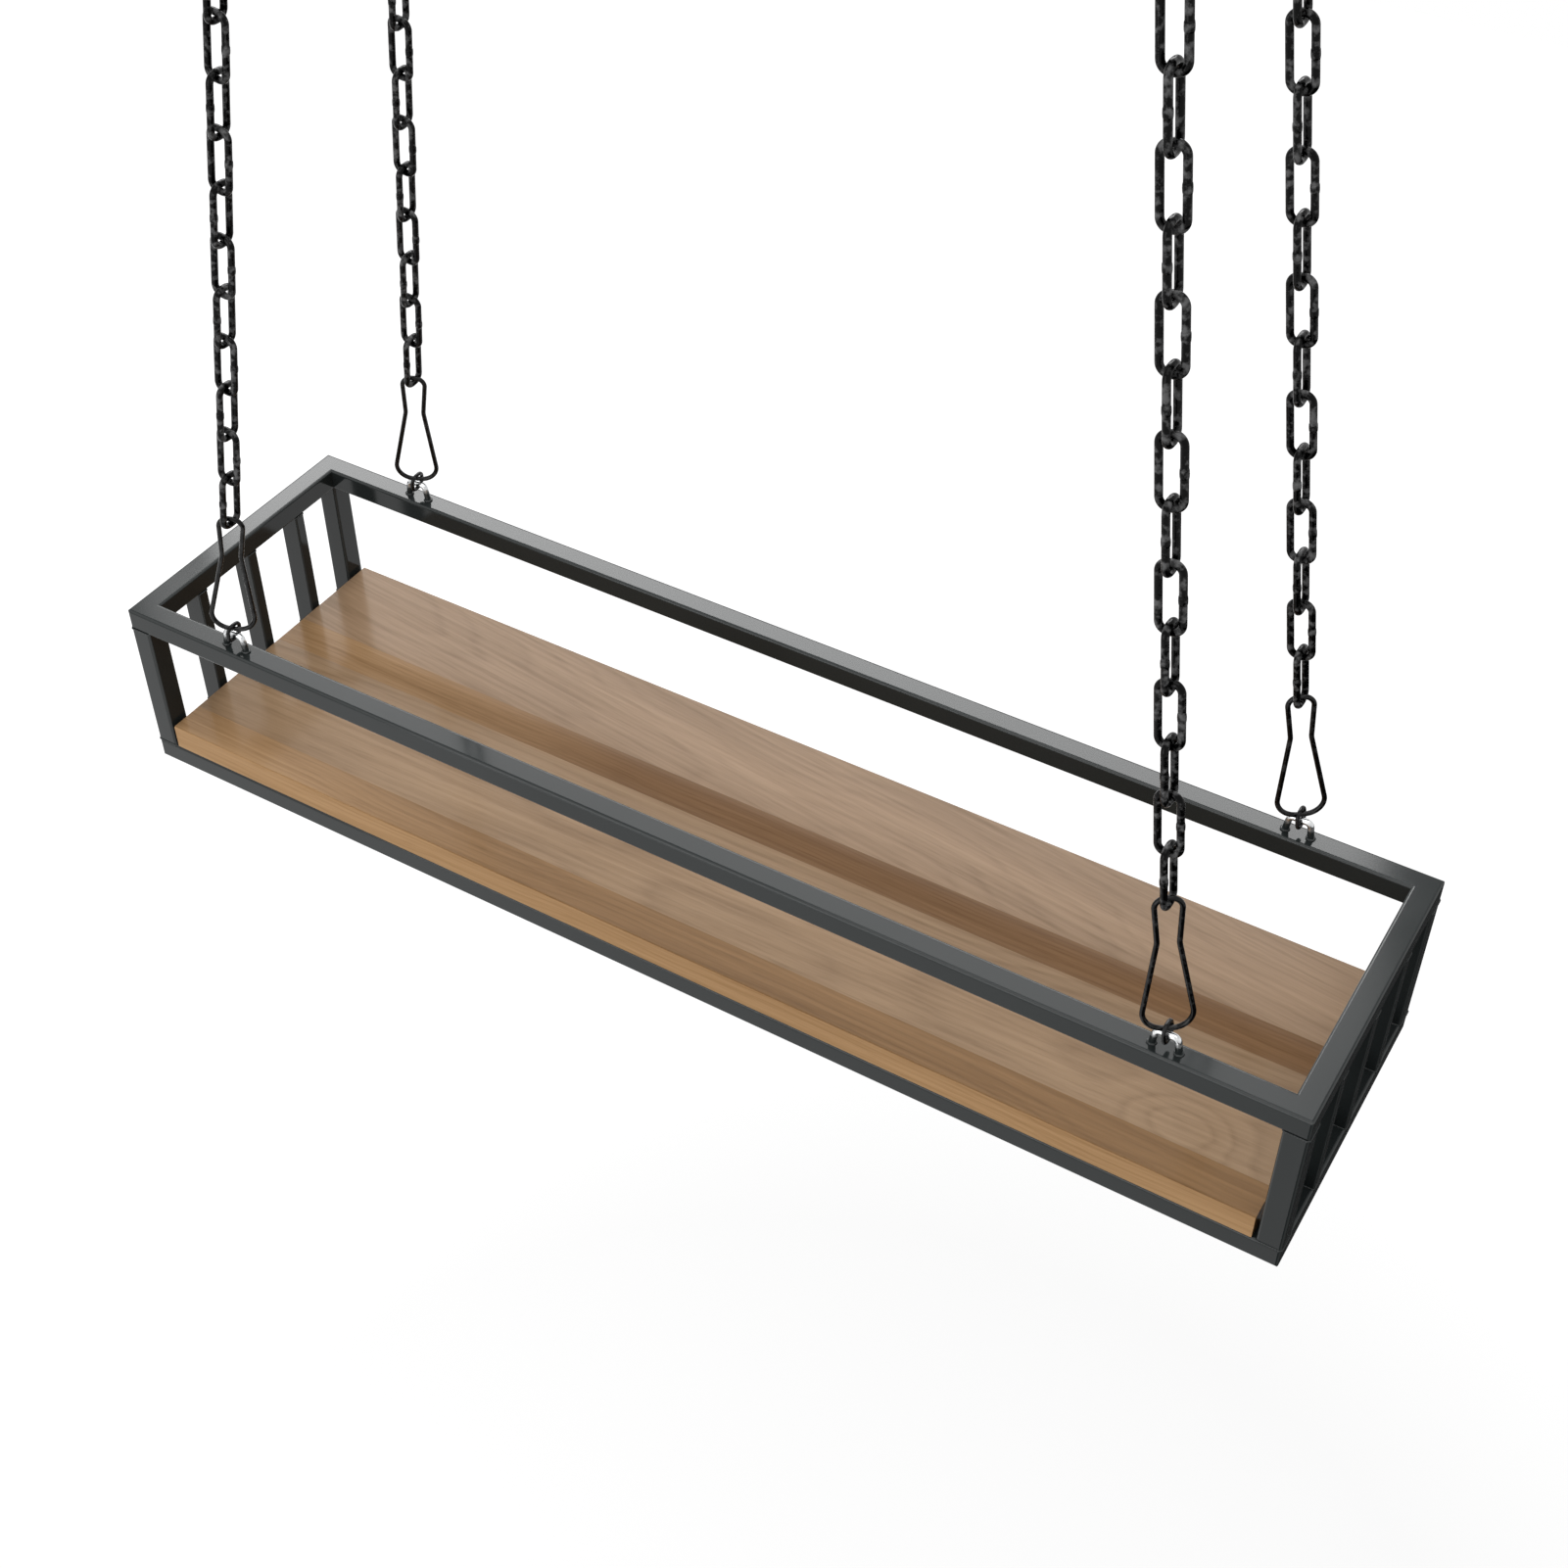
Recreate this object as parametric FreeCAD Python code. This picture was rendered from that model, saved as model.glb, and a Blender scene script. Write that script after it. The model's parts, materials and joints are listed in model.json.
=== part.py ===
"""Hanging plant shelf: a welded tube frame with a wooden board, hung from four ceiling hooks on chains.

Millimetres, +Z up, +X along the shelf, -Y the front. The origin is in the ceiling plane, at the centre
of the four hooks.
"""
import FreeCAD, Part
import math
import os

from FreeCAD import Placement, Rotation, Vector

# Welded frame of square steel tube
shelf_length = 800.0
shelf_depth = 200.0
shelf_height = 125.0
tube_side = 15.0
tube_wall = 1.2
tube_corner = 1.8

# Upright bars of flat tube that close each end of the frame, as deep as the frame's tube
end_bar_count = 3
end_bar_spacing = 48.5
end_bar_width = 8.0
end_bar_wall = 1.0
end_bar_corner = 1.2

# Board glued up from four staves, the last one as wide as the depth leaves
board_thickness = 18.0
board_end_gap = 2.5
board_edge = 1.0
front_stave_width = 24.0
wide_stave_width = 82.0
middle_stave_width = 26.0

# Screws that hold the board from below, through the bottom rails
screws_per_rail = 3
screw_spacing = 300.0
screw_radius = 2.0
screw_grip = 12.0
screw_point = 3.0
screw_head_radius = 4.2
screw_head_height = 2.4
screw_slot_width = 0.9
screw_slot_depth = 1.2
screw_hole_clearance = 0.15

# Eyes bent from round bar and welded to the top rails
eye_inset = 85.0
eye_wire = 4.0
eye_height = 13.0
eye_top_width = 12.5
eye_base_width = 15.5
eye_bend = 3.2

# Rings that join the eyes to the hangers
ring_wire = 2.5
ring_width = 12.5
ring_corner = 4.0
ring_play = 0.8

# Pear-shaped wire hangers
pear_wire = 3.0
pear_height = 90.0
pear_base_width = 33.0
pear_waist_width = 14.4
pear_waist_height = 58.0
pear_top_width = 18.0
pear_base_bend = 11.0
pear_waist_bend = 14.0
pear_top_bend = 6.3
pear_turn = 30.0

# Long-link chain
link_wire = 4.0
link_width = 16.0
link_pitch = 32.0
link_corner = 5.0
link_count = 17

# Screw hooks in the ceiling
hook_spacing_length = 450.0
hook_spacing_depth = 120.0
hook_wire = 5.0
hook_ring_radius = 10.0
hook_neck_radius = 6.0
hook_neck = 6.0
hook_tip_turn = 200.0
collar_radius = 7.0
collar_thickness = 2.0
collar_edge = 0.7
shank_length = 30.0
shank_point = 7.0

# Room left between bars that hang in each other, with more at the hooks and the eyes, where they tilt
contact_gap = 0.3
hook_gap = 0.4
eye_gap = 0.65

UP = Vector(0, 0, 1)
ALONG = Vector(1, 0, 0)
ACROSS = Vector(0, 1, 0)
ORIGIN = Vector(0, 0, 0)


# Wire and tube shapes

def rounded_path(corners, bends, closed):
    """Edges of straight runs joined by tangent arcs, with one bend radius for each bent corner."""
    count = len(corners)
    bent = range(count) if closed else range(1, count - 1)
    starts = list(corners)
    ends = list(corners)
    arcs = {}
    for i in bent:
        corner = corners[i]
        back = (corners[i - 1] - corner).normalize()
        ahead = (corners[(i + 1) % count] - corner).normalize()
        half = back.getAngle(ahead) / 2
        inward = (back + ahead).normalize()
        starts[i] = corner + back * (bends[i] / math.tan(half))
        ends[i] = corner + ahead * (bends[i] / math.tan(half))
        middle = corner + inward * (bends[i] / math.sin(half) - bends[i])
        arcs[i] = Part.Arc(starts[i], middle, ends[i]).toShape()
    edges = []
    for i in range(count if closed else count - 1):
        following = (i + 1) % count
        edges.append(Part.LineSegment(ends[i], starts[following]).toShape())
        if following in arcs:
            edges.append(arcs[following])
    return edges


def round_bar(edges, diameter):
    """Round bar of one diameter bent along the edges of a path."""
    path = Part.Wire(edges)
    first = edges[0]
    start = first.valueAt(first.FirstParameter)
    heading = first.tangentAt(first.FirstParameter)
    section = Part.Wire([Part.Circle(start, heading, diameter / 2).toShape()])
    return path.makePipeShell([section], True, False)


def flat_ring(half_width, half_height, corner):
    """Centre line of an upright rounded rectangle in the XZ plane, centred on the origin."""
    corners = [
        Vector(-half_width, 0, -half_height),
        Vector(half_width, 0, -half_height),
        Vector(half_width, 0, half_height),
        Vector(-half_width, 0, half_height),
    ]
    return rounded_path(corners, [corner] * len(corners), True)


def rounded_rectangle(width, height, corner):
    """Face of a rectangle with rounded corners in the YZ plane, centred on the origin."""
    y = width / 2
    z = height / 2
    corners = [Vector(0, -y, -z), Vector(0, y, -z), Vector(0, y, z), Vector(0, -y, z)]
    return Part.Face(Part.Wire(rounded_path(corners, [corner] * len(corners), True)))


def hollow_tube(length, width, height, corner, wall):
    """Tube along X with a rounded rectangular section, centred on the origin."""
    bore_corner = max(corner - wall, wall / 4)
    bore = rounded_rectangle(width - 2 * wall, height - 2 * wall, bore_corner)
    section = rounded_rectangle(width, height, corner).cut(bore)
    tube = section.Faces[0].extrude(ALONG * length)
    tube.translate(ALONG * (-length / 2))
    return tube


def frame_tube(length):
    """Square tube of the frame along X, centred on the origin."""
    return hollow_tube(length, tube_side, tube_side, tube_corner, tube_wall)


def mitred_rail(length):
    """Square tube along X, mitred at both ends, with its longer side at -Y and outer corners ground round."""
    beyond = tube_side
    outer_half = length / 2 + beyond - tube_side / 2
    inner_half = length / 2 - beyond - tube_side / 2
    outline = [
        Vector(-outer_half, -beyond, -beyond),
        Vector(outer_half, -beyond, -beyond),
        Vector(inner_half, beyond, -beyond),
        Vector(-inner_half, beyond, -beyond),
    ]
    wedge = Part.Face(Part.makePolygon(outline + outline[:1])).extrude(UP * (2 * beyond))
    reach = Part.makeBox(length, 2 * beyond, 2 * beyond, Vector(-length / 2, -tube_side / 2, -beyond))
    outer_edges = [edge for edge in reach.Edges if edge.BoundBox.ZLength > beyond and edge.BoundBox.YMax < 0]
    rounded_reach = reach.makeFillet(tube_corner, outer_edges)
    return frame_tube(length + 2 * beyond).common(wedge).common(rounded_reach)


# Heights and reaches, worked out from the ceiling down along each chain

hook_lead = math.acos(hook_neck_radius / (hook_neck_radius + hook_ring_radius))
hook_ring_drop = hook_neck + (hook_neck_radius + hook_ring_radius) * math.sin(hook_lead)
hook_drop = hook_ring_drop + hook_ring_radius

link_length = link_pitch + contact_gap + link_wire
link_on_hook = (hook_wire + link_wire) / 2 + hook_gap
top_link_end = link_length - link_on_hook
last_link_end = top_link_end + (link_count - 1) * link_pitch

pear_rise = pear_height - pear_wire
pear_top = last_link_end - (link_wire + pear_wire) / 2 - contact_gap
pear_bar = pear_top + pear_rise

ring_rise = eye_wire + eye_gap + ring_play + pear_wire + contact_gap + ring_wire
ring_top = pear_bar - (pear_wire + ring_wire) / 2 - contact_gap
ring_bottom = ring_top + ring_rise
chain_reach = ring_bottom - (ring_wire + eye_wire) / 2 - eye_gap

hook_x = hook_spacing_length / 2
hook_y = hook_spacing_depth / 2
eye_x = shelf_length / 2 - eye_inset
eye_y = (shelf_depth - tube_side) / 2
eye_drop = hook_drop + math.sqrt(chain_reach ** 2 - (eye_x - hook_x) ** 2 - (eye_y - hook_y) ** 2)

rail_top = -eye_drop - (eye_height - eye_wire / 2)
frame_bottom = rail_top - shelf_height
board_bottom = frame_bottom + tube_side
board_top = board_bottom + board_thickness
top_rail_level = rail_top - tube_side / 2
bottom_rail_level = frame_bottom + tube_side / 2

corner_signs = {
    "front_left": (-1, -1),
    "front_right": (1, -1),
    "back_left": (-1, 1),
    "back_right": (1, 1),
}


def hook_point(sign_x, sign_y):
    """Centre of a ceiling hook's bar at the bottom of its bend."""
    return Vector(sign_x * hook_x, sign_y * hook_y, -hook_drop)


def eye_point(sign_x, sign_y):
    """Centre of an eye's top bar."""
    return Vector(sign_x * eye_x, sign_y * eye_y, -eye_drop)


def chain_place(sign_x, sign_y, distance, turn):
    """Place on a chain's line, so far down from the hook and turned so many degrees about the line."""
    top = hook_point(sign_x, sign_y)
    rise = (top - eye_point(sign_x, sign_y)).normalize()
    side = (ALONG - rise * ALONG.dot(rise)).normalize()
    along_line = Rotation(side, rise.cross(side), rise, "ZXY")
    return Placement(top - rise * distance, along_line.multiply(Rotation(UP, turn)))


def placed(shape, place):
    """Copy of a shape at a place."""
    copy = shape.copy()
    copy.Placement = place
    return copy


# Pieces

def ceiling_hook():
    """Screw hook with its collar's top face at the origin, its shank above and its bend below."""
    neck_centre = Vector(hook_neck_radius, 0, -hook_neck)
    ring_centre = Vector(0, 0, -hook_ring_drop)

    def on_neck(angle):
        return neck_centre - Vector(math.cos(angle), 0, math.sin(angle)) * hook_neck_radius

    def on_ring(angle):
        return ring_centre + Vector(math.cos(angle), 0, math.sin(angle)) * hook_ring_radius

    low = -math.pi / 2
    tip = -math.radians(hook_tip_turn)
    edges = [
        Part.LineSegment(ORIGIN, on_neck(0)).toShape(),
        Part.Arc(on_neck(0), on_neck(hook_lead / 2), on_neck(hook_lead)).toShape(),
        Part.Arc(on_ring(hook_lead), on_ring((hook_lead + low) / 2), on_ring(low)).toShape(),
        Part.Arc(on_ring(low), on_ring((low + tip) / 2), on_ring(tip)).toShape(),
    ]
    bend = round_bar(edges, hook_wire)
    rounded_tip = Part.makeSphere(hook_wire / 2, on_ring(tip))
    collar = Part.makeCylinder(collar_radius, collar_thickness, UP * -collar_thickness)
    lower_rim = [edge for edge in collar.Edges if edge.BoundBox.ZMax < -collar_thickness / 2]
    collar = collar.makeFillet(collar_edge, lower_rim)
    shank = Part.makeCylinder(hook_wire / 2, shank_length - shank_point)
    point = Part.makeCone(hook_wire / 2, hook_wire / 10, shank_point, UP * (shank_length - shank_point))
    return bend.multiFuse([rounded_tip, collar, shank, point]).removeSplitter()


def chain_link():
    """Welded link in the XZ plane, centred on the origin."""
    centre_line = flat_ring((link_width - link_wire) / 2, link_length / 2, link_corner)
    return round_bar(centre_line, link_wire)


def pear_hanger():
    """Pear-shaped loop in the XZ plane with its bottom bar's centre at the origin."""
    base = (pear_base_width - pear_wire) / 2
    waist = (pear_waist_width - pear_wire) / 2
    top = (pear_top_width - pear_wire) / 2
    right = [Vector(base, 0, 0), Vector(waist, 0, pear_waist_height), Vector(top, 0, pear_rise)]
    left = [Vector(-point.x, 0, point.z) for point in reversed(right)]
    bends = [pear_base_bend, pear_waist_bend, pear_top_bend]
    return round_bar(rounded_path(left + right, bends[::-1] + bends, True), pear_wire)


def joining_ring():
    """Short ring in the XZ plane, centred on the origin."""
    return round_bar(flat_ring((ring_width - ring_wire) / 2, ring_rise / 2, ring_corner), ring_wire)


def hanging_eye():
    """Bent bar in the XZ plane with its top bar's centre at the origin and its feet cut flat for the rail."""
    foot = eye_wire / 2 - eye_height
    splay = (eye_base_width - eye_top_width) / 2 / -foot
    buried = foot - eye_wire
    foot_reach = eye_top_width / 2 - buried * splay
    corners = [
        Vector(-foot_reach, 0, buried),
        Vector(-eye_top_width / 2, 0, 0),
        Vector(eye_top_width / 2, 0, 0),
        Vector(foot_reach, 0, buried),
    ]
    bar = round_bar(rounded_path(corners, [eye_bend] * len(corners), False), eye_wire)
    block_side = 2 * eye_base_width + 4 * eye_wire
    rail_block = Part.makeBox(
        block_side, block_side, block_side, Vector(-block_side / 2, -block_side / 2, foot - block_side)
    )
    return bar.cut(rail_block)


def corner_post():
    """Upright square tube that fills the height between the rails, centred on the origin."""
    post = frame_tube(shelf_height - 2 * tube_side)
    post.rotate(ORIGIN, ACROSS, 90)
    return post


def end_bar():
    """Upright flat tube that fills the height between the rails, centred on the origin."""
    bar = hollow_tube(shelf_height - 2 * tube_side, end_bar_width, tube_side, end_bar_corner, end_bar_wall)
    bar.rotate(ORIGIN, ACROSS, 90)
    return bar


def board_screw():
    """Round-headed wood screw, point up, with its head's seat at the origin."""
    tip = tube_side + screw_grip
    dome_side = screw_head_radius * math.cos(math.pi / 4)
    dome_level = -screw_head_height * math.sin(math.pi / 4)
    rim = Vector(screw_head_radius, 0, 0)
    crown = Vector(0, 0, -screw_head_height)
    shoulder = Vector(screw_radius, 0, 0)
    shank_end = Vector(screw_radius, 0, tip - screw_point)
    dome = Part.Arc(crown, Vector(dome_side, 0, dome_level), rim).toShape()
    straight = Part.makePolygon([rim, shoulder, shank_end, UP * tip, crown]).Edges
    profile = Part.Face(Part.Wire([dome] + straight))
    screw = profile.revolve(ORIGIN, UP, 360)
    for turn in (0, 90):
        slot = Part.makeBox(
            screw_head_radius,
            screw_slot_width,
            screw_slot_depth,
            Vector(-screw_head_radius / 2, -screw_slot_width / 2, -screw_head_height),
        )
        slot.rotate(ORIGIN, UP, turn)
        screw = screw.cut(slot)
    return screw


def screw_places():
    """Seats of the screw heads under the front and back bottom rails."""
    first = -(screws_per_rail - 1) / 2 * screw_spacing
    return [
        Vector(first + i * screw_spacing, side * eye_y, frame_bottom)
        for side in (-1, 1)
        for i in range(screws_per_rail)
    ]


def screw_holes():
    """Straight holes for the screws through the bottom rails and into the board."""
    radius = screw_radius + screw_hole_clearance
    depth = tube_side + screw_grip + screw_hole_clearance
    return [Part.makeCylinder(radius, depth, seat) for seat in screw_places()]


def shelf_board():
    """Whole board on the bottom rails, with eased long edges and pilot holes."""
    length = shelf_length - 2 * (tube_side + board_end_gap)
    corner = Vector(-length / 2, -shelf_depth / 2, board_bottom)
    board = Part.makeBox(length, shelf_depth, board_thickness, corner)
    long_edges = [edge for edge in board.Edges if edge.BoundBox.XLength > length / 2]
    return board.makeFillet(board_edge, long_edges).cut(screw_holes())


def save(name, shape):
    """Write one piece to its own file."""
    shape.exportStep(f"parts/{name}.step")


os.makedirs("parts", exist_ok=True)

# Ceiling hooks, chains, hangers, rings and eyes, one set for each corner
link = chain_link()
for corner_name, (sign_x, sign_y) in corner_signs.items():
    hook_seat = Placement(Vector(sign_x * hook_x, sign_y * hook_y, 0), Rotation())
    save(f"ceiling_hook_{corner_name}", placed(ceiling_hook(), hook_seat))

    links = []
    for i in range(link_count):
        middle = link_length / 2 - link_on_hook + i * link_pitch
        crosswise = 90 if i % 2 == 0 else 0
        links.append(placed(link, chain_place(sign_x, sign_y, middle, crosswise)))
    save(f"top_link_{corner_name}", links[0])
    save(f"chain_{corner_name}", Part.makeCompound(links[1:]))

    pear_place = chain_place(sign_x, sign_y, pear_bar, pear_turn)
    save(f"pear_hanger_{corner_name}", placed(pear_hanger(), pear_place))
    ring_place = chain_place(sign_x, sign_y, (ring_top + ring_bottom) / 2, 90)
    save(f"joining_ring_{corner_name}", placed(joining_ring(), ring_place))
    eye_place = Placement(eye_point(sign_x, sign_y), Rotation())
    save(f"hanging_eye_{corner_name}", placed(hanging_eye(), eye_place))

# Top and bottom rails, mitred at the corners, each a quarter turn on from the one before
for quarter, side_name in enumerate(("front", "right", "back", "left")):
    span, across = (shelf_depth, shelf_length) if quarter % 2 else (shelf_length, shelf_depth)
    rail = mitred_rail(span)
    rail.translate(ACROSS * ((tube_side - across) / 2))
    rail.rotate(ORIGIN, UP, 90 * quarter)
    save(f"top_rail_{side_name}", rail.translated(UP * top_rail_level))
    save(f"bottom_rail_{side_name}", rail.translated(UP * bottom_rail_level).cut(screw_holes()))

# Corner posts and end bars between the rails
post_x = (shelf_length - tube_side) / 2
post_y = (shelf_depth - tube_side) / 2
upright_level = (rail_top + frame_bottom) / 2
for corner_name, (sign_x, sign_y) in corner_signs.items():
    post_middle = Vector(sign_x * post_x, sign_y * post_y, upright_level)
    save(f"corner_post_{corner_name}", corner_post().translated(post_middle))
for side_name, sign_x in (("left", -1), ("right", 1)):
    for i in range(end_bar_count):
        bar_y = (i - (end_bar_count - 1) / 2) * end_bar_spacing
        bar_middle = Vector(sign_x * post_x, bar_y, upright_level)
        save(f"end_bar_{side_name}_{i + 1}", end_bar().translated(bar_middle))

# Board, cut along its glue lines into staves from front to back
board = shelf_board()
back_stave_width = shelf_depth - front_stave_width - wide_stave_width - middle_stave_width
staves = {
    "front": front_stave_width,
    "wide": wide_stave_width,
    "middle": middle_stave_width,
    "back": back_stave_width,
}
stave_front = -shelf_depth / 2
for stave_name, width in staves.items():
    strip_corner = Vector(-shelf_length / 2, stave_front, board_bottom - board_thickness)
    strip = Part.makeBox(shelf_length, width, 3 * board_thickness, strip_corner)
    save(f"board_stave_{stave_name}", board.common(strip))
    stave_front += width

# Screws from below
screws = [board_screw().translated(seat) for seat in screw_places()]
save("board_screws", Part.makeCompound(screws))
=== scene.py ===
import json
import math

import bpy
import numpy as np
from mathutils import Matrix, Vector


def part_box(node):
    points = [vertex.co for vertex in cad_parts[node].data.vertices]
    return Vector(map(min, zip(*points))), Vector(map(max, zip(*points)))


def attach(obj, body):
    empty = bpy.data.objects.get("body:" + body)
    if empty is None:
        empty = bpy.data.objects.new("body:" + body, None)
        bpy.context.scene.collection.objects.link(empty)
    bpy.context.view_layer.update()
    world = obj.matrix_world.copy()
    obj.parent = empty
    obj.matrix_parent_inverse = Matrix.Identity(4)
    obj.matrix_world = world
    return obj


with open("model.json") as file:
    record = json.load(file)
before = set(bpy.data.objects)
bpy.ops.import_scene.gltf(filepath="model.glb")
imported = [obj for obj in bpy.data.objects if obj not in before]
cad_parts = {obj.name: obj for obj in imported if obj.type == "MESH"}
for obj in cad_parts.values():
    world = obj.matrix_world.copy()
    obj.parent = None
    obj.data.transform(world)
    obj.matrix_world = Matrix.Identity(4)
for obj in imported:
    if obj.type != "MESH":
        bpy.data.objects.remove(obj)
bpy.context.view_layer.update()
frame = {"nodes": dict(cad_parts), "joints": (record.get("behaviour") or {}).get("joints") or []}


# The tube frame: top and bottom rails of square steel tube, mitred and welded at the corners, with a post
# of the same tube in each corner. It is blasted, then powder coated in a dark satin grey, so every face
# has the coat's faint orange-peel ripple.

def plug_in(tree, node, inputs):
    """Fills a shader node's inputs: a socket is linked to its input, and any other value is set on it."""
    for name, value in inputs.items():
        if isinstance(value, bpy.types.NodeSocket):
            tree.links.new(value, node.inputs[name])
        else:
            node.inputs[name].default_value = value


def add_node(tree, kind, inputs, **settings):
    """Adds a shader node with its own settings and its inputs."""
    node = tree.nodes.new(kind)
    for name, value in settings.items():
        setattr(node, name, value)
    plug_in(tree, node, inputs)
    return node


def new_finish(name):
    """Starts a finish: gives its material, node tree, surface shader and Object coordinates in metres."""
    material = bpy.data.materials.new(name)
    material.use_nodes = True
    tree = material.node_tree
    place = tree.nodes.new("ShaderNodeTexCoord").outputs["Object"]
    return material, tree, tree.nodes["Principled BSDF"], place


def cloud(tree, place, scale, detail=3.0):
    """Cloudy noise, mostly from 0.3 to 0.7, with about scale clouds to the metre."""
    inputs = {"Vector": place, "Scale": scale, "Detail": detail}
    return add_node(tree, "ShaderNodeTexNoise", inputs).outputs[0]


def graded(tree, value, low, high, start=0.3, end=0.7):
    """Carries a value that runs from start to end, as a cloud does, over to the range from low to high."""
    inputs = {"Value": value, "From Min": start, "From Max": end, "To Min": low, "To Max": high}
    return add_node(tree, "ShaderNodeMapRange", inputs).outputs["Result"]


def blended(tree, share, first, second):
    """Mixes two colours by a share from 0, all first, to 1, all second. The node's colours are its inputs 6
    and 7 and its output 2."""
    mixer = add_node(tree, "ShaderNodeMix", {0: share, 6: first, 7: second}, data_type="RGBA")
    return mixer.outputs[2]


def vector_step(tree, operation, *vectors):
    """One step of arithmetic on vectors. Gives the node's outputs, Vector and Value."""
    return add_node(tree, "ShaderNodeVectorMath", dict(enumerate(vectors)), operation=operation).outputs


def ripple(tree, height, strength, depth):
    """The normal of a surface that a height pattern raises, depth metres high at full strength."""
    inputs = {"Height": height, "Strength": strength, "Distance": depth}
    return add_node(tree, "ShaderNodeBump", inputs).outputs["Normal"]


def dress(finish, *names):
    """Puts a finish on CAD nodes."""
    for name in names:
        slots = frame["nodes"][name].data.materials
        slots.clear()
        slots.append(finish)


flat_side = 0.85
round_edge = 0.55


def rounded_edge(tree):
    """1 on the rounded edges of square tube and 0 on its flat sides. The sum x^4 + y^4 + z^4 over the normal
    of the surface is 1 where the normal lies along an axis, and 0.5 half way round an edge."""
    normal = tree.nodes.new("ShaderNodeTexCoord").outputs["Normal"]
    square = vector_step(tree, "MULTIPLY", normal, normal)["Vector"]
    fourth = vector_step(tree, "DOT_PRODUCT", square, square)["Value"]
    return graded(tree, fourth, 0.0, 1.0, flat_side, round_edge)


coat_dark = (0.017, 0.0205, 0.0207, 1.0)
coat_light = (0.0235, 0.0275, 0.0278, 1.0)
# A lighter grey for the rounded edges: partly a thinner, worn coat and partly a painted highlight.
edge_wear_and_highlight = (0.046, 0.05, 0.05, 1.0)
coat_mottle = 7.0
coat_gloss_clouds = 18.0
coat_roughness = (0.09, 0.12)
coat_mirror = 0.2
coat_peel = 1300.0
coat_peel_strength = 0.012
coat_peel_depth = 0.00003

grey_coat, tree, shader, place = new_finish("grey_coat")
coat = blended(tree, graded(tree, cloud(tree, place, coat_mottle), 0.0, 1.0), coat_dark, coat_light)
peel = cloud(tree, place, coat_peel, detail=1.0)
# The rounded edges are painted a lighter grey, partly a thinner, worn coat there and partly a painted
# highlight.
plug_in(tree, shader, {
    "Base Color": blended(tree, rounded_edge(tree), coat, edge_wear_and_highlight),
    "Roughness": graded(tree, cloud(tree, place, coat_gloss_clouds), *coat_roughness),
    "Specular IOR Level": coat_mirror,
    "Normal": ripple(tree, peel, coat_peel_strength, coat_peel_depth),
})

sides = ("front", "right", "back", "left")
corners = ("front_left", "front_right", "back_left", "back_right")
rails = [f"{level}_rail_{side}" for level in ("top", "bottom") for side in sides]
posts = [f"corner_post_{corner}" for corner in corners]
dress(grey_coat, *rails, *posts)


# The weld beads where each post meets the rails above and below it: a low rippled seam all round the tube,
# laid before the coat and left slightly proud, so it catches the light as a thin line on the front face.

tube_corner = 0.0018
post_bead = 0.0006
corner_points = 9
bead_step = 0.0004
bead_sides = 10
bead_scale = 0.0016
bead_swell = 0.14


def rounded_outline(half_x, half_y, corner, step):
    """Even steps round a rectangle with round corners: quarter circles about the four corner centres, joined
    by straight sides, then read off again at equal lengths. Gives points, outward normals and lengths."""
    quarter = np.arange(4)[:, None] * np.pi / 2 + np.linspace(0, np.pi / 2, corner_points)
    x = (np.array([[1], [-1], [-1], [1]]) * (half_x - corner) + corner * np.cos(quarter)).ravel()
    y = (np.array([[1], [1], [-1], [-1]]) * (half_y - corner) + corner * np.sin(quarter)).ravel()
    x, y = np.append(x, x[0]), np.append(y, y[0])
    run = np.append(0, np.cumsum(np.hypot(np.diff(x), np.diff(y))))
    even = np.linspace(0, run[-1], round(run[-1] / step), endpoint=False)
    points = np.stack([np.interp(even, run, x), np.interp(even, run, y)], -1)
    along = np.roll(points, -1, 0) - np.roll(points, 1, 0)
    normals = np.stack([along[:, 1], -along[:, 0]], -1) / np.linalg.norm(along, axis=1, keepdims=True)
    return points, normals, even


def grid_faces(rows, columns, close_rows=True):
    """Quads between neighbouring points of a grid, closed round its columns and, if asked, its rows."""
    i = np.arange(rows if close_rows else rows - 1)[:, None]
    j = np.arange(columns)[None, :]
    here, there = i * columns, (i + 1) % rows * columns
    after = (j + 1) % columns
    return np.stack([here + j, there + j, there + after, here + after], -1).reshape(-1, 4)


def seam_bead(centre, half_x, half_y, corner, radius):
    """A weld seam round a tube's end: a small circle carried round the tube's outline. Its radius swells and
    shrinks with the length s along the seam, radius (1 + swell sin(2 pi s / scale)), over a whole number of
    the weld's scales."""
    points, normals, run = rounded_outline(half_x, half_y, corner, bead_step)
    length = run[-1] + run[1]
    waves = 2 * np.pi * round(length / bead_scale) * run / length
    reach = radius * (1 + bead_swell * np.sin(waves))
    turn = np.linspace(0, 2 * np.pi, bead_sides, endpoint=False)
    flat = points[:, None, :] + (reach[:, None] * np.cos(turn))[..., None] * normals[:, None, :]
    height = reach[:, None] * np.sin(turn)
    surface = np.concatenate([flat, height[..., None]], -1) + np.array(centre)
    return surface.reshape(-1, 3), grid_faces(len(run), len(turn))


def add_piece(name, surfaces, finish, body):
    """One smooth mesh object from several surfaces, each given as points and faces. It rides on a body, and
    takes the finish it is given."""
    points, faces = zip(*surfaces)
    starts = np.cumsum([0] + [len(part) for part in points[:-1]])
    faces = np.concatenate([part + start for part, start in zip(faces, starts)])
    mesh = bpy.data.meshes.new(name)
    mesh.from_pydata(np.concatenate(points).tolist(), [], faces.tolist())
    mesh.polygons.foreach_set("use_smooth", np.ones(len(faces), bool))
    mesh.materials.append(finish)
    mesh.update()
    piece = bpy.data.objects.new(name, mesh)
    bpy.context.scene.collection.objects.link(piece)
    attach(piece, body)


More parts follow.
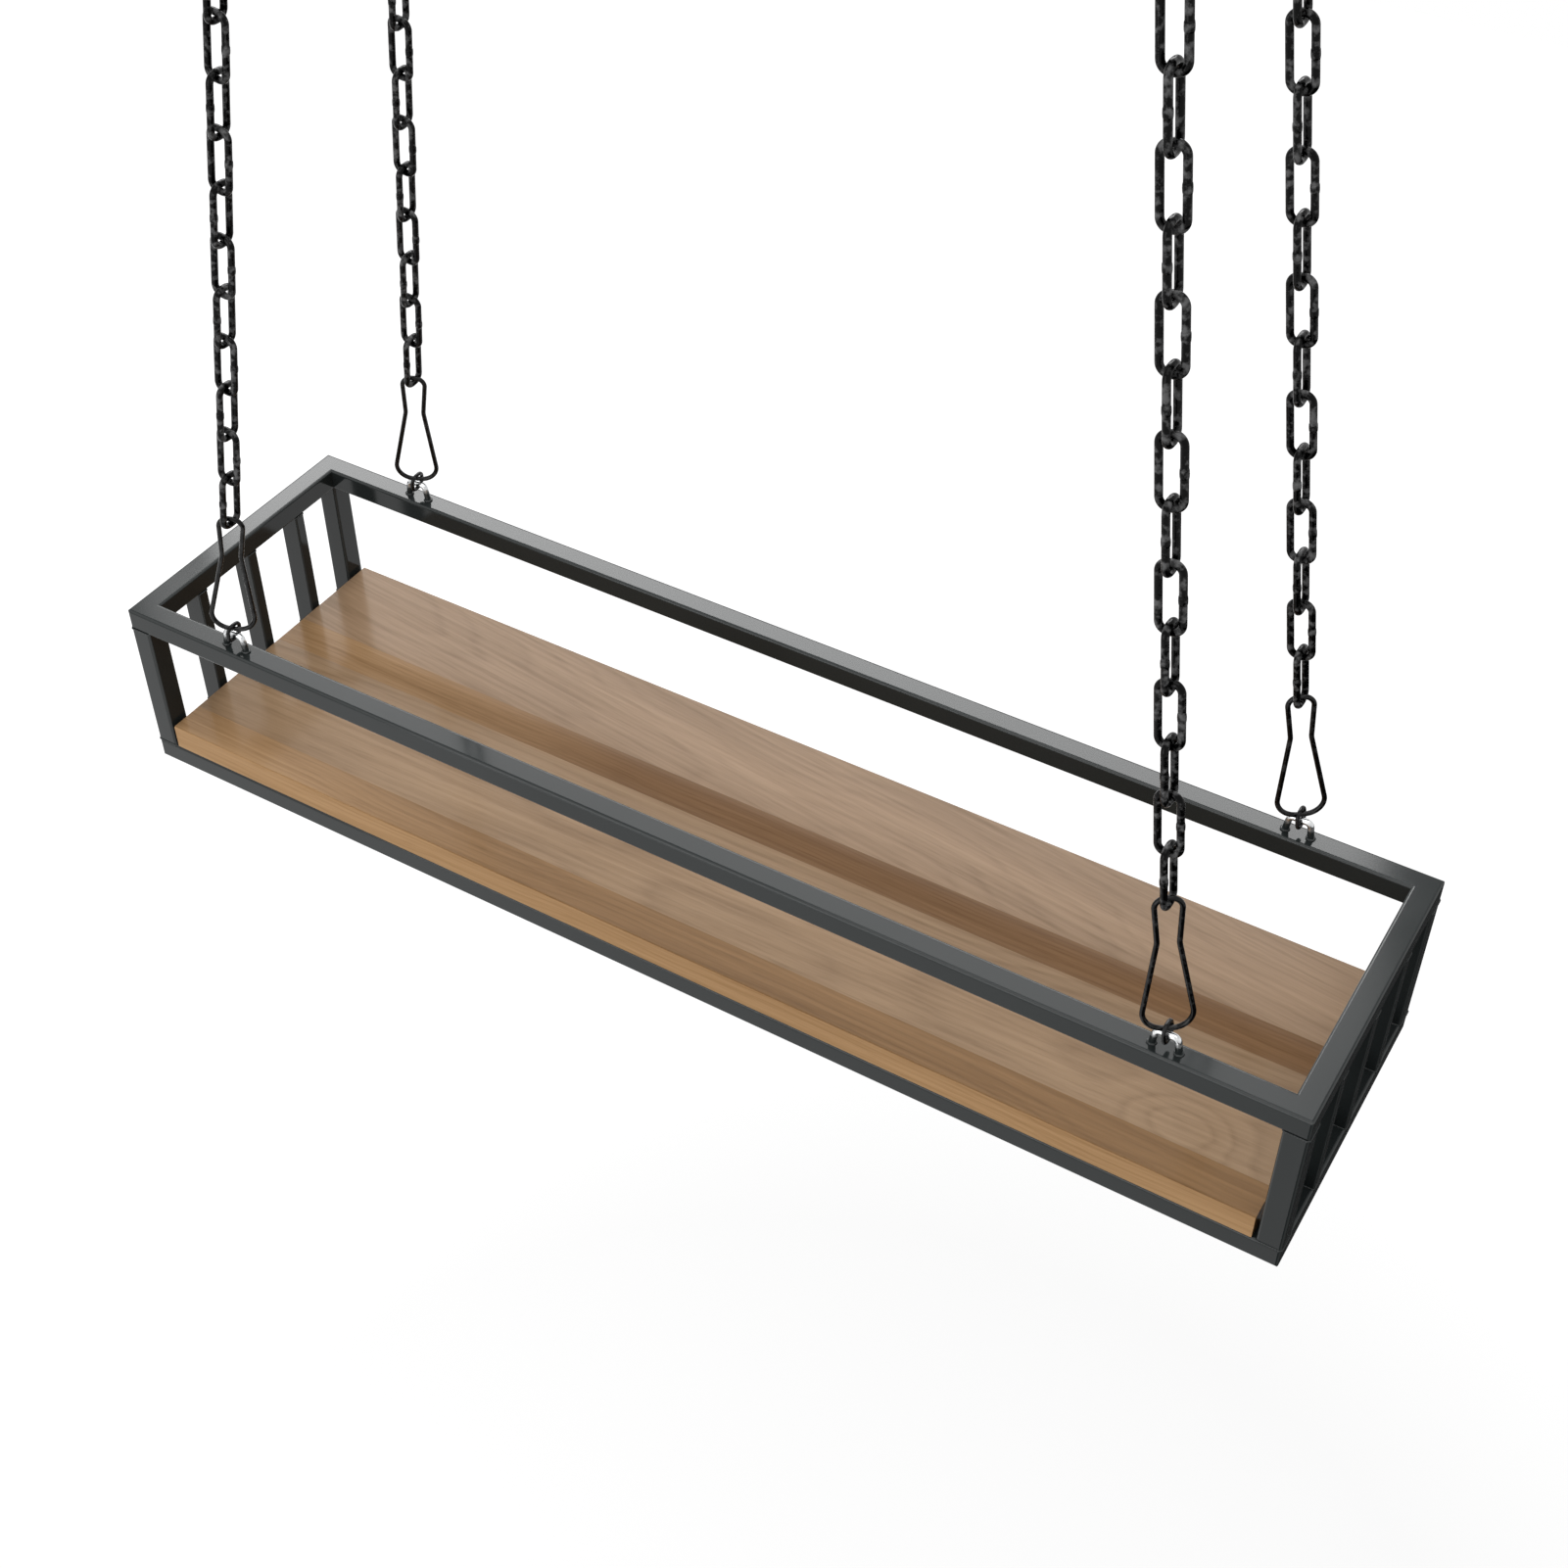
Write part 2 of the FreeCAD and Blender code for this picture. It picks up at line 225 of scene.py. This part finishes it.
def end_beads(names, corner, radius):
    """The two seams of each upright: one where it meets the rail above, one at the rail below."""
    beads = []
    for name in names:
        low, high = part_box(name)
        middle, half = (low + high) / 2, (high - low) / 2
        for level in (low.z, high.z):
            beads.append(seam_bead((middle.x, middle.y, level), half.x, half.y, corner, radius))
    return beads


add_piece("post_welds", end_beads(posts, tube_corner, post_bead), grey_coat, "shelf")


# The end bars: three upright flat tubes in each end, between the top and the bottom end rail, under the same
# coat. Each is butt welded to both rails with a fine seam.

bar_corner = 0.0012
bar_bead = 0.0005

bars = [f"end_bar_{side}_{number}" for side in ("left", "right") for number in (1, 2, 3)]
dress(grey_coat, *bars)
add_piece("bar_welds", end_beads(bars, bar_corner, bar_bead), grey_coat, "shelf")


# The board: four staves of light and darker wood, planed, glued edge to edge and sanded flush, with softened
# edges and a satin lacquer. The grain runs along the shelf, with end grain at both ends.

degree = math.pi / 180

# A pattern's clouds are so many to the metre along the grain and across it, with so much detail.
wander_clouds = (3.0, 8.0, 2.0)
wander_reach = 0.009
quiver_clouds = (11.0, 110.0, 3.0)
quiver_reach = 0.0008
fibre_clouds = (7.0, 330.0, 4.0)
fibre_edges = (0.35, 0.65)
fibre_weight = 0.46
fibre_under_figure = 0.7
fleck_clouds = (42.0, 620.0, 2.0)
fleck_edges = (0.54, 0.7)
fleck_weight = 0.15
broad_clouds = (3.0, 42.0, 3.0)
broad_weight = 0.34
ring_tones = ((0.12, 0.1), (0.6, 0.35), (0.86, 1.0))
ring_joint = (0.5, 0.5, 0.5, 1.0)
sapwood_full = -0.3
sapwood_gone = -0.1
end_grain_share = 0.5
end_grain_facing = (0.6, 0.9)
front_edge_facing = (-0.9, -0.5)
wood_roughness = (0.4, 0.52)
wood_mirror = 0.05
lacquer_weight = 0.12
lacquer_roughness = 0.15
grain_strength = 0.16
grain_depth = 0.00008


def scaled(tree, vector, factors):
    """Multiplies a vector by three factors, one for each direction."""
    return vector_step(tree, "MULTIPLY", vector, factors)["Vector"]


def worked(tree, operation, *numbers):
    """One step of arithmetic on numbers."""
    return add_node(tree, "ShaderNodeMath", dict(enumerate(numbers)), operation=operation).outputs["Value"]


def drawn_out(tree, grown, along, across, detail):
    """Cloudy noise drawn out along the grain: about so many clouds to the metre along it and across it."""
    return cloud(tree, scaled(tree, grown, (along, across, across)), 1.0, detail)


def eddy(tree, place, centre, reach, lift):
    """A swirl in the grain, as over a branch that was grown in: lift exp(-d * d), with d the distance from
    the swirl's centre counted in its reach along and across the grain."""
    centred = vector_step(tree, "SUBTRACT", place, centre)["Vector"]
    spread = scaled(tree, centred, (1 / reach[0], 1 / reach[1], 0.0))
    square = vector_step(tree, "DOT_PRODUCT", spread, spread)["Value"]
    fall = worked(tree, "POWER", math.e, worked(tree, "MULTIPLY", square, -1.0))
    return worked(tree, "MULTIPLY", fall, lift)


def year_tone(tree, distance, ring):
    """The tone of the year rings by the distance from the tree's middle line. A ring starts pale, darkens
    slowly to its late wood at 1, and ends sharply."""
    year = worked(tree, "FRACT", worked(tree, "DIVIDE", distance, ring))
    ramp = add_node(tree, "ShaderNodeValToRGB", {"Fac": year})
    for position, grey in ring_tones:
        ramp.color_ramp.elements.new(position).color = (grey, grey, grey, 1.0)
    for end in (0, -1):
        ramp.color_ramp.elements[end].color = ring_joint
    return ramp.outputs["Color"]


def stave_wood(name, light, dark, pith, tilt, ring, figure, swirl=None, painted_lit_edge=None, sapwood=None):
    """Lacquered solid wood, the same through the whole stave. Its tone adds up the year rings, the fibres,
    dark flecks and broad bands, each with its weight, and runs from the light to the dark colour. The pith,
    the tree's middle line, lies below the board and tilts a little along it. Ring is the width of a year
    ring, and figure the weight of the rings. The front face takes its own pale and deep colours, painted
    lighter as if lit from the front, and the sapwood pair gives those of a paler left end."""
    material, tree, shader, place = new_finish(name)
    inputs = {"Vector": place, "Location": pith, "Rotation": (0.0, *tilt)}
    grown = add_node(tree, "ShaderNodeMapping", inputs).outputs["Vector"]
    distance = vector_step(tree, "LENGTH", scaled(tree, grown, (0.0, 1.0, 1.0)))["Value"]
    wander = graded(tree, drawn_out(tree, grown, *wander_clouds), -wander_reach, wander_reach)
    quiver = graded(tree, drawn_out(tree, grown, *quiver_clouds), -quiver_reach, quiver_reach)
    distance = worked(tree, "ADD", worked(tree, "ADD", distance, wander), quiver)
    if swirl:
        distance = worked(tree, "ADD", distance, eddy(tree, place, **swirl))

    fibre = graded(tree, drawn_out(tree, grown, *fibre_clouds), 0.0, 1.0, *fibre_edges)
    fleck = graded(tree, drawn_out(tree, grown, *fleck_clouds), 0.0, 1.0, *fleck_edges)
    broad = graded(tree, drawn_out(tree, grown, *broad_clouds), 0.0, 1.0)
    plain_fibre = fibre_weight - fibre_under_figure * figure
    share = worked(tree, "MULTIPLY", year_tone(tree, distance, ring), figure)
    for tone, weight in ((fibre, plain_fibre), (fleck, fleck_weight), (broad, broad_weight)):
        share = worked(tree, "ADD", share, worked(tree, "MULTIPLY", tone, weight))

    colour = blended(tree, share, light, dark)
    if sapwood:
        length = add_node(tree, "ShaderNodeSeparateXYZ", {0: place}).outputs["X"]
        paler = graded(tree, worked(tree, "ADD", length, wander), 1.0, 0.0, sapwood_full, sapwood_gone)
        colour = blended(tree, paler, colour, blended(tree, share, *sapwood))
    normal = tree.nodes.new("ShaderNodeTexCoord").outputs["Normal"]
    facing = add_node(tree, "ShaderNodeSeparateXYZ", {0: normal}).outputs
    to_end = worked(tree, "ABSOLUTE", facing["X"])
    end_grain = graded(tree, to_end, 0.0, end_grain_share, *end_grain_facing)
    colour = blended(tree, end_grain, colour, dark)
    # The front face of the board is painted lighter, a painted light as if lit from the front.
    if painted_lit_edge:
        front = graded(tree, facing["Y"], 1.0, 0.0, *front_edge_facing)
        colour = blended(tree, front, colour, blended(tree, share, *painted_lit_edge))

    plug_in(tree, shader, {
        "Base Color": colour,
        "Roughness": graded(tree, fibre, *wood_roughness, 0.0, 1.0),
        "Specular IOR Level": wood_mirror,
        "Coat Weight": lacquer_weight,
        "Coat Roughness": lacquer_roughness,
        "Normal": ripple(tree, worked(tree, "SUBTRACT", fibre, fleck), grain_strength, grain_depth),
    })
    return material


front_light = (0.269, 0.148, 0.06, 1.0)
front_dark = (0.131, 0.067, 0.025, 1.0)
wide_light = (0.367, 0.242, 0.141, 1.0)
wide_dark = (0.184, 0.111, 0.058, 1.0)
middle_light = (0.229, 0.124, 0.0576, 1.0)
middle_dark = (0.113, 0.057, 0.024, 1.0)
back_light = (0.352, 0.232, 0.142, 1.0)
back_dark = (0.192, 0.119, 0.066, 1.0)
# Painted light: the lighter tones of the board's front face, as if lit from the front.
painted_lit_edge_pale = (0.54, 0.325, 0.158, 1.0)
painted_lit_edge_deep = (0.31, 0.168, 0.066, 1.0)
sapwood_light = (0.405, 0.246, 0.122, 1.0)
sapwood_dark = (0.208, 0.114, 0.049, 1.0)
grown_in_branch = {"centre": (0.326, -0.062, 0.0), "reach": (0.034, 0.018), "lift": 0.019}

front_wood = stave_wood("front_stave_wood", front_light, front_dark, pith=(0.3, 0.16, 0.83),
                        tilt=(0.7 * degree, 0.5 * degree), ring=0.0031, figure=0.22,
                        painted_lit_edge=(painted_lit_edge_pale, painted_lit_edge_deep), sapwood=(sapwood_light, sapwood_dark))
wide_wood = stave_wood("wide_stave_wood", wide_light, wide_dark, pith=(0.0, 0.06, 0.85),
                       tilt=(1.3 * degree, -0.6 * degree), ring=0.0062, figure=0.28, swirl=grown_in_branch)
middle_wood = stave_wood("middle_stave_wood", middle_light, middle_dark, pith=(1.7, -0.14, 0.81),
                         tilt=(-0.5 * degree, 0.4 * degree), ring=0.0029, figure=0.22,
                         sapwood=(sapwood_light, sapwood_dark))
back_wood = stave_wood("back_stave_wood", back_light, back_dark, pith=(-1.2, -0.05, 0.86),
                       tilt=(-1.1 * degree, 6.5 * degree), ring=0.0036, figure=0.2)
dress(front_wood, "board_stave_front")
dress(wide_wood, "board_stave_wide")
dress(middle_wood, "board_stave_middle")
dress(back_wood, "board_stave_back")


# The board screws: six countersunk cross-slot wood screws, driven up through the bottom rails into the
# board from below, with a dark phosphate finish.

screw_dark = (0.05, 0.05, 0.052, 1.0)
screw_light = (0.13, 0.13, 0.132, 1.0)
screw_blotches = 900.0
screw_metal = 0.9
screw_gloss_clouds = 1600.0
screw_roughness = (0.3, 0.5)
screw_grit = 2600.0
screw_grit_strength = 0.2
screw_grit_depth = 0.00004

dark_screw, tree, shader, place = new_finish("dark_screw")
blotches = graded(tree, cloud(tree, place, screw_blotches), 0.0, 1.0)
plug_in(tree, shader, {
    "Base Color": blended(tree, blotches, screw_dark, screw_light),
    "Metallic": screw_metal,
    "Roughness": graded(tree, cloud(tree, place, screw_gloss_clouds), *screw_roughness),
    "Normal": ripple(tree, cloud(tree, place, screw_grit), screw_grit_strength, screw_grit_depth),
})
dress(dark_screw, "board_screws")


# The hanging eyes: short bridges bent from round bar and zinc plated, one on the top rail near each corner.
# Each foot is set on the rail with a small collar of weld. The legs are painted dark in the coat's grey and
# not metal, a painted shade that fades out up the legs, and the crown is bright metal.

eye_wire = 0.004
foot_collar = 0.0009
foot_rise = 0.0003
# The painted shade on the legs fades out between these shares of the eye's height.
leg_shade_climb = (0.45, 0.7)
leg_shade_clouds = 700.0
leg_shade_wander = 0.0008
zinc_dark = (0.5, 0.51, 0.52, 1.0)
zinc_light = (0.82, 0.83, 0.83, 1.0)
zinc_blotches = 420.0
zinc_gloss_clouds = 800.0
zinc_roughness = (0.14, 0.3)
zinc_grit = 1500.0
zinc_grit_strength = 0.15
zinc_grit_depth = 0.00004

eyes = [f"hanging_eye_{corner}" for corner in corners]
eye_low, eye_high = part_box(eyes[0])
leg_shade_fades_from, leg_shade_gone_above = [eye_low.z + share * (eye_high.z - eye_low.z) for share in leg_shade_climb]

bright_zinc, tree, shader, place = new_finish("bright_zinc")
height = add_node(tree, "ShaderNodeSeparateXYZ", {0: place}).outputs["Z"]
uneven = graded(tree, cloud(tree, place, leg_shade_clouds), -leg_shade_wander, leg_shade_wander)
# Painted shade: the legs take the dark coat colour, without metal, up to an uneven line below the bright
# crown.
unshaded_crown = graded(tree, worked(tree, "ADD", height, uneven), 0.0, 1.0, leg_shade_fades_from, leg_shade_gone_above)
blotches = graded(tree, cloud(tree, place, zinc_blotches), 0.0, 1.0)
zinc = blended(tree, blotches, zinc_dark, zinc_light)
plug_in(tree, shader, {
    "Base Color": blended(tree, unshaded_crown, coat_dark, zinc),
    "Metallic": unshaded_crown,
    "Roughness": graded(tree, cloud(tree, place, zinc_gloss_clouds), *zinc_roughness),
    "Normal": ripple(tree, cloud(tree, place, zinc_grit), zinc_grit_strength, zinc_grit_depth),
})
dress(bright_zinc, *eyes)

collar_steps = 28
collar_sides = 10
collar_ripple = 0.15
collar_ripple_waves = 7
collar_sag = 0.1
collar_sag_waves = 2
collar_sag_turn = 1.0


def collar_bead(centre, axis, first, second, radius, half_length, height):
    """A ring of weld round a bar: an ellipse, half_length along the bar by height across it, carried round
    the bar at its radius. Its height swells by sin(7 turn) and sin(2 turn + 1), as a hand-laid weld does."""
    turn = np.linspace(0, 2 * np.pi, collar_steps, endpoint=False)[:, None]
    around = np.linspace(0, 2 * np.pi, collar_sides, endpoint=False)[None, :]
    ripples = collar_ripple * np.sin(collar_ripple_waves * turn)
    sag = collar_sag * np.sin(collar_sag_waves * turn + collar_sag_turn)
    out = radius + height * (1 + ripples + sag) * np.cos(around)
    along = half_length * np.sin(around)
    surface = (np.array(centre) + along[..., None] * axis
               + (out * np.cos(turn))[..., None] * first
               + (out * np.sin(turn))[..., None] * second)
    return surface.reshape(-1, 3), grid_faces(collar_steps, collar_sides)


x_axis, y_axis, z_axis = np.eye(3)
collars = []
for eye in eyes:
    low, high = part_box(eye)
    for foot_x in (low.x + eye_wire / 2, high.x - eye_wire / 2):
        foot = (foot_x, (low.y + high.y) / 2, low.z + foot_rise)
        collars.append(collar_bead(foot, z_axis, x_axis, y_axis, eye_wire / 2, foot_collar, foot_collar))
add_piece("eye_welds", collars, grey_coat, "shelf")


# The joining rings and the pear-shaped hangers: rings and waisted hangers bent from round wire, butt welded
# and dipped in a glossy black enamel that runs a little thick and thin. Its faint grey patches are partly
# thin enamel and partly painted glints.

enamel_black = (0.0008, 0.0008, 0.0009, 1.0)
# A faint grey for the patches on the rings, hangers and hooks: partly thin enamel, partly painted glints.
thin_and_glint_grey = (0.022, 0.022, 0.0222, 1.0)
enamel_patches = 240.0
enamel_patch_detail = 4.0
enamel_patch_edges = (0.49, 0.66)
enamel_roughness = (0.1, 0.32)
enamel_mirror = 0.2
enamel_runs = 420.0
enamel_runs_strength = 0.8
enamel_runs_depth = 0.0003


def wire_enamel(name, worn_and_glint, mirror):
    """Black enamel on round wire. In cloudy patches it passes over to a grey that is partly worn enamel and
    partly a painted glint, and is rougher there. Mirror is the strength of its gloss."""
    material, tree, shader, place = new_finish(name)
    patches = cloud(tree, place, enamel_patches, enamel_patch_detail)
    # The grey patches are partly worn enamel and partly painted glints.
    wear_and_glint = graded(tree, patches, 0.0, 1.0, *enamel_patch_edges)
    plug_in(tree, shader, {
        "Base Color": blended(tree, wear_and_glint, enamel_black, worn_and_glint),
        "Roughness": graded(tree, wear_and_glint, *enamel_roughness, 0.0, 1.0),
        "Specular IOR Level": mirror,
        "Normal": ripple(tree, cloud(tree, place, enamel_runs), enamel_runs_strength, enamel_runs_depth),
    })
    return material


black_enamel = wire_enamel("black_enamel", thin_and_glint_grey, enamel_mirror)
dress(black_enamel, *[f"joining_ring_{corner}" for corner in corners])
dress(black_enamel, *[f"pear_hanger_{corner}" for corner in corners])


# The chains: long links bent from round wire, each closed by a resistance weld in the middle of one straight
# side and turned a quarter against the last. The weld leaves a low collar. Their black enamel turns a dull
# grey in patches, partly rubbed where the links knocked together and partly painted glints.

link_wire = 0.004
link_width = 0.016
link_pitch = 0.032
link_weld_half = 0.0024
link_weld_height = 0.0003
# A dull grey for the patches on the chains: partly rubbed enamel, partly painted glints.
rubbed_and_glint_grey = (0.125, 0.125, 0.126, 1.0)
rubbed_and_glint_mirror = 0.1

rubbed_and_glint_enamel = wire_enamel("rubbed_and_glint_enamel", rubbed_and_glint_grey, rubbed_and_glint_mirror)
dress(rubbed_and_glint_enamel, *[f"top_link_{corner}" for corner in corners])
dress(rubbed_and_glint_enamel, *[f"chain_{corner}" for corner in corners])


def link_welds(top, hung, heights, first_crosswise):
    """The weld collars of a run of links that hangs on the line from top to hung. The link at each height
    has its weld on one straight side, in turn along Y and X. The wire's centre there lies half of the link's
    outer width less the wire from that line."""
    down = (hung - top) / np.linalg.norm(hung - top)
    side_x = x_axis - down * down[0]
    side_x = side_x / np.linalg.norm(side_x)
    side_y = np.cross(down, side_x)
    side_step = (link_width - link_wire) / 2
    welds = []
    for number, height in enumerate(heights):
        crosswise = (number % 2 == 0) == first_crosswise
        offset = side_step * (side_y if crosswise else side_x)
        middle = top + (hung - top) * (height - top[2]) / (hung[2] - top[2]) + offset
        weld = collar_bead(middle, down, side_x, side_y, link_wire / 2, link_weld_half, link_weld_height)
        welds.append(weld)
    return welds


place_of = {joint["name"]: np.array(joint["pos_m"]) for joint in frame["joints"]}
for corner in corners:
    top, hung = place_of[f"sway_{corner}"], place_of[f"hanger_pivot_{corner}"]
    link_low, link_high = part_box(f"top_link_{corner}")
    run_low, run_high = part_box(f"chain_{corner}")
    half_link = (link_high.z - link_low.z) / 2
    links = round((run_high.z - run_low.z) / link_pitch)
    heights = np.linspace(run_high.z - half_link, run_low.z + half_link, links)
    top_weld = link_welds(top, hung, [link_low.z + half_link], first_crosswise=True)
    run_welds = link_welds(top, hung, heights, first_crosswise=False)
    add_piece(f"top_link_weld_{corner}", top_weld, rubbed_and_glint_enamel, f"link_{corner}")
    add_piece(f"chain_welds_{corner}", run_welds, rubbed_and_glint_enamel, f"chain_{corner}")


# The ceiling hooks: open hooks bent from thicker wire, with a collar that stops against the ceiling and a
# pointed shank. A single wood thread is rolled round the shank. They have the hangers' black enamel.

shank_radius = 0.0025
shank_point = 0.007
thread_start = 0.0012
thread_below_tip = 0.00175
thread_pitch = 0.0022
thread_steps = 36
thread_depth = 0.0005
thread_least = 0.1
thread_rise = 1.5
thread_sunk = 0.0003
thread_foot = 0.0006
thread_crest = 0.0001

dress(black_enamel, *[f"ceiling_hook_{corner}" for corner in corners])


def wood_thread(x, y, tip):
    """A thread round the shank: a ridge of four corners carried up a helix. Its foot lies on the shank, or
    on the cone of the point. Its height rises from a tenth to full within the first turn, and falls again
    so in the last one."""
    top = tip - thread_below_tip
    turns = (top - thread_start) / thread_pitch
    steps = int(turns * thread_steps)
    share = np.linspace(0, 1, steps)
    height = thread_start + share * (top - thread_start)
    turn = 2 * np.pi * turns * share
    body = shank_radius * np.clip((tip - height) / shank_point, 0, 1)
    ends_away = np.minimum(share, 1 - share) * turns
    ridge = thread_depth * np.clip(ends_away * thread_rise, thread_least, 1)
    out = np.stack([body - thread_sunk, body - thread_sunk, body + ridge, body + ridge], -1)
    rise = np.array([thread_foot, -thread_foot, -thread_crest, thread_crest])
    across, along = x + out * np.cos(turn)[:, None], y + out * np.sin(turn)[:, None]
    surface = np.stack([across, along, height[:, None] + rise], -1)
    first_end = np.arange(len(rise))
    last_end = len(rise) * steps - 1 - first_end
    flanks = grid_faces(steps, len(rise), close_rows=False)
    return surface.reshape(-1, 3), np.concatenate([flanks, [first_end, last_end]])


for corner in corners:
    shank_x, shank_y = place_of[f"sway_{corner}"][:2]
    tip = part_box(f"ceiling_hook_{corner}")[1].z
    thread = wood_thread(shank_x, shank_y, tip)
    add_piece(f"hook_thread_{corner}", [thread], black_enamel, "ceiling")


# The studio: a plain white floor at room height below the ceiling, which fades to pure white away from the
# shelf, a bright window lamp behind and to the left with a dimmer one over it, a soft lamp above and a fill
# lamp in front. A dark card beyond the right end shows only in the gloss there.

floor_level = -2.4
floor_half = 5.0
floor_tone = (0.5, 0.5, 0.5, 1.0)
floor_near_glow = 0.6
floor_far_glow = 0.93
floor_fade_from = 0.9
floor_fade_to = 2.6
card_black = (0.01, 0.01, 0.01, 1.0)
card_width = 0.9
card_front = -0.9
card_back = 1.1
card_drop = 0.2
air_white = (1.0, 1.0, 1.0, 1.0)
air_light = 0.4


def flat_sheet(name, low, high, level, paint):
    """A level rectangle from its lowest to its highest x and y, which belongs to the studio."""
    (left, front), (right, back) = low, high
    points = [(left, front, level), (right, front, level), (right, back, level), (left, back, level)]
    mesh = bpy.data.meshes.new(name)
    mesh.from_pydata(points, [], [(0, 1, 2, 3)])
    mesh.materials.append(paint)
    sheet = bpy.data.objects.new(name, mesh)
    bpy.context.scene.collection.objects.link(sheet)
    return sheet


def seen_share(tree):
    """1 for what the camera sees, straight or in a gloss or through glass, and 0 for light on things."""
    path = tree.nodes.new("ShaderNodeLightPath").outputs
    share = worked(tree, "MAXIMUM", path["Is Camera Ray"], path["Is Glossy Ray"])
    return worked(tree, "MAXIMUM", share, path["Is Transmission Ray"])


floor_paint, tree, shader, place = new_finish("floor_paint")
tree.nodes.remove(shader)
matt = add_node(tree, "ShaderNodeBsdfDiffuse", {"Color": floor_tone})
from_middle = vector_step(tree, "LENGTH", scaled(tree, place, (1.0, 1.0, 0.0)))["Value"]
fade = graded(tree, from_middle, floor_near_glow, floor_far_glow, floor_fade_from, floor_fade_to)
glow = add_node(tree, "ShaderNodeEmission", {"Strength": worked(tree, "MULTIPLY", seen_share(tree), fade)})
both = add_node(tree, "ShaderNodeAddShader", {0: matt.outputs[0], 1: glow.outputs[0]})
plug_in(tree, tree.nodes["Material Output"], {"Surface": both.outputs[0]})
flat_sheet("studio_floor", (-floor_half, -floor_half), (floor_half, floor_half), floor_level, floor_paint)

card_paint, tree, shader = new_finish("card_paint")[:3]
plug_in(tree, shader, {"Base Color": card_black, "Roughness": 1.0})
end_low, end_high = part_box("bottom_rail_right")
card_low = (end_high.x, card_front)
card_high = (end_high.x + card_width, card_back)
dark_card = flat_sheet("dark_card", card_low, card_high, end_low.z - card_drop, card_paint)
dark_card.visible_camera = False
dark_card.visible_diffuse = False
dark_card.visible_shadow = False

air = bpy.data.worlds.new("studio_air")
air.use_nodes = True
bpy.context.scene.world = air
tree = air.node_tree
strength = graded(tree, seen_share(tree), air_light, 1.0, 0.0, 1.0)
plug_in(tree, tree.nodes["Background"], {"Color": air_white, "Strength": strength})


def soft_lamp(name, place, towards, width, height, power):
    """A soft lamp, width by height, at a place and turned to shine in one direction."""
    lamp = bpy.data.lights.new(name, "AREA")
    lamp.shape = "RECTANGLE"
    lamp.size = width
    lamp.size_y = height
    lamp.energy = power
    stand = bpy.data.objects.new(name, lamp)
    stand.location = place
    stand.rotation_euler = towards.to_track_quat("-Z", "Y").to_euler()
    stand.visible_camera = False
    bpy.context.scene.collection.objects.link(stand)


window_turn = 5 * degree
window_away = 2.2
window_sill = 1.45
window_right = 0.17
window_width = 2.66
window_height = 0.8
window_power = 63.5
upper_right = 0.235
upper_width = 2.97
upper_height = 1.35
upper_power = 41.0
top_lamp_from_shelf = Vector((0.3, -0.5, 2.2))
top_lamp_side = 2.0
top_lamp_power = 21.0
fill_from_shelf = Vector((-0.7, -2.7, 0.5))
fill_side = 2.0
fill_power = 33.0

top_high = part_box("top_rail_back")[1]
base_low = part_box("bottom_rail_front")[0]
shelf_middle = Vector((0.0, (base_low.y + top_high.y) / 2, (base_low.z + top_high.z) / 2))
behind = Vector((-math.sin(window_turn), math.cos(window_turn), 0.0))
leftward = Vector((-math.cos(window_turn), -math.sin(window_turn), 0.0))
wall_middle = shelf_middle + behind * window_away

window_place = wall_middle + leftward * (window_width / 2 - window_right)
window_place.z = top_high.z + window_sill + window_height / 2
soft_lamp("window_lamp", window_place, -behind, window_width, window_height, window_power)
upper_place = wall_middle + leftward * (upper_width / 2 - upper_right)
upper_place.z = top_high.z + window_sill + window_height + upper_height / 2
soft_lamp("upper_window_lamp", upper_place, -behind, upper_width, upper_height, upper_power)
straight_down = Vector((0.0, 0.0, -1.0))
top_place = shelf_middle + top_lamp_from_shelf
soft_lamp("top_lamp", top_place, straight_down, top_lamp_side, top_lamp_side, top_lamp_power)
fill_place = shelf_middle + fill_from_shelf
soft_lamp("fill_lamp", fill_place, -fill_from_shelf, fill_side, fill_side, fill_power)


# The camera: it stands in front of the right end and looks down on the shelf. Its lens gives the picture
# angle of the photograph, from a focal length of 2300 pixels across a picture 1601 pixels wide.

photo_width = 1601.0
photo_focal = 2300.0
sensor_width = 36.0
azimuth = 30.98 * degree
elevation = 43.34 * degree
camera_away = 1.39005
camera_right = 0.0242
camera_up = 0.0169

camera = bpy.data.objects.new("camera", bpy.data.cameras.new("camera"))
camera.data.sensor_width = sensor_width
camera.data.lens = sensor_width * photo_focal / photo_width
right = Vector((math.cos(azimuth), math.sin(azimuth), 0.0))
ahead = Vector((-math.sin(azimuth), math.cos(azimuth), 0.0))
back = Vector((0.0, 0.0, math.sin(elevation))) - ahead * math.cos(elevation)
up = back.cross(right)
camera.matrix_world = Matrix((right, up, back)).transposed().to_4x4()
camera.location = shelf_middle + right * camera_right + up * camera_up + back * camera_away
bpy.context.scene.collection.objects.link(camera)
bpy.context.scene.camera = camera
bpy.context.scene.view_settings.view_transform = "Standard"
